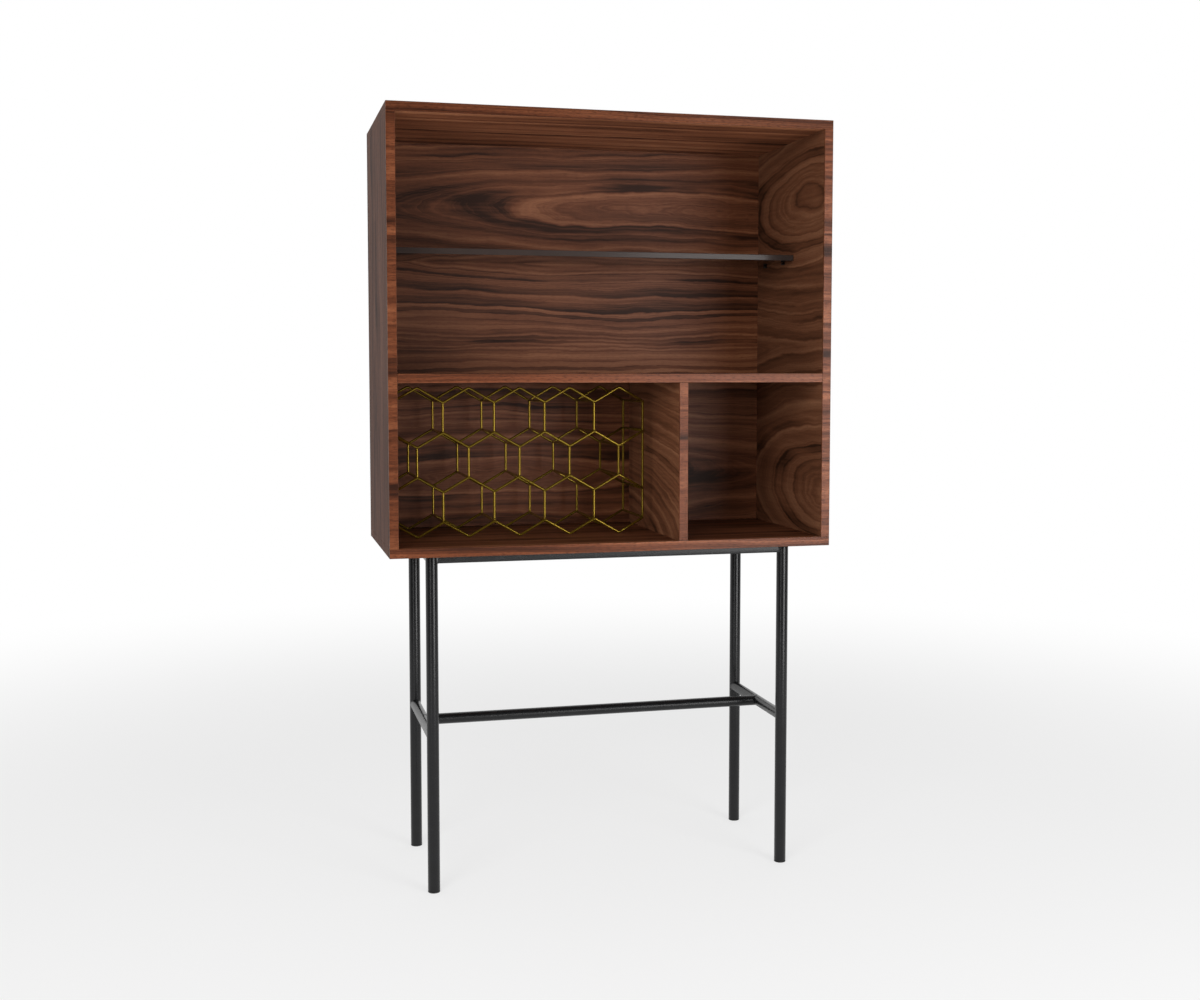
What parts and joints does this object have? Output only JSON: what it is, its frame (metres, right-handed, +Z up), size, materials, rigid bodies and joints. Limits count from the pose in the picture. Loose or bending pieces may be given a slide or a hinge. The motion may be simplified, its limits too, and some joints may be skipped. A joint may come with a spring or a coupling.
{
  "type": "bar cabinet",
  "caption": "Open walnut bar cabinet with a tinted glass shelf, a divided lower level and a pull-out honeycomb wire bottle rack, on a slim black steel tube stand.",
  "frame": {"origin": "on the floor, under the middle of the case", "axes": "+Z up, -Y out of the open front, +X to the right of someone who faces the front"},
  "size_m": [0.9, 0.4, 1.534],
  "materials": {
    "walnut_veneer": "satin lacquered walnut veneer on board",
    "walnut_lipping": "satin lacquered walnut strip",
    "tinted_glass": "smoke tinted, polished edges",
    "dark_steel": "dark bronze",
    "black_powder_coat": "satin black powder coat on steel tube",
    "black_plastic": "moulded",
    "zinc_steel": "zinc plated",
    "gold_wire": "satin antique gold on wire"
  },
  "bodies": {
    "cabinet": {"top_panel": "walnut_veneer", "bottom_panel": "walnut_veneer", "left_side": "walnut_veneer", "right_side": "walnut_veneer", "middle_shelf": "walnut_veneer", "divider": "walnut_veneer", "back_panel": "walnut_veneer", "top_lipping": "walnut_lipping", "bottom_lipping": "walnut_lipping", "left_side_lipping": "walnut_lipping", "right_side_lipping": "walnut_lipping", "middle_shelf_lipping": "walnut_lipping", "divider_lipping": "walnut_lipping", "shelf_pin_front_left": "dark_steel", "shelf_pin_front_right": "dark_steel", "shelf_pin_rear_left": "dark_steel", "shelf_pin_rear_right": "dark_steel", "front_left_leg": "black_powder_coat", "front_right_leg": "black_powder_coat", "rear_left_leg": "black_powder_coat", "rear_right_leg": "black_powder_coat", "front_left_glide": "black_plastic", "front_right_glide": "black_plastic", "rear_left_glide": "black_plastic", "rear_right_glide": "black_plastic", "front_rail": "black_powder_coat", "rear_rail": "black_powder_coat", "left_rail": "black_powder_coat", "right_rail": "black_powder_coat", "left_stretcher": "black_powder_coat", "right_stretcher": "black_powder_coat", "centre_stretcher": "black_powder_coat", "frame_screw_front_left": "zinc_steel", "frame_screw_front_right": "zinc_steel", "frame_screw_rear_left": "zinc_steel", "frame_screw_rear_right": "zinc_steel"},
    "glass_shelf": {"glass_shelf": "tinted_glass"},
    "bottle_rack": {"rack_front_zigzag_1": "gold_wire", "rack_front_zigzag_2": "gold_wire", "rack_front_zigzag_3": "gold_wire", "rack_front_zigzag_4": "gold_wire", "rack_rear_zigzag_1": "gold_wire", "rack_rear_zigzag_2": "gold_wire", "rack_rear_zigzag_3": "gold_wire", "rack_rear_zigzag_4": "gold_wire", "rack_loop_row_1_1": "gold_wire", "rack_loop_row_1_2": "gold_wire", "rack_loop_row_1_3": "gold_wire", "rack_loop_row_1_4": "gold_wire", "rack_loop_row_2_1": "gold_wire", "rack_loop_row_2_2": "gold_wire", "rack_loop_row_2_3": "gold_wire", "rack_loop_row_2_4": "gold_wire", "rack_loop_row_2_5": "gold_wire", "rack_loop_row_3_1": "gold_wire", "rack_loop_row_3_2": "gold_wire", "rack_loop_row_3_3": "gold_wire", "rack_loop_row_3_4": "gold_wire", "rack_left_end": "gold_wire", "rack_right_end": "gold_wire"}
  },
  "joints": [
    {"name": "glass_shelf_slide", "type": "slide", "parent": "cabinet", "child": "glass_shelf", "axis": [0, -1, 0], "range_m": [0, 0.05]},
    {"name": "bottle_rack_slide", "type": "slide", "parent": "cabinet", "child": "bottle_rack", "axis": [0, -1, 0], "range_m": [0, 0.22]}
  ]
}
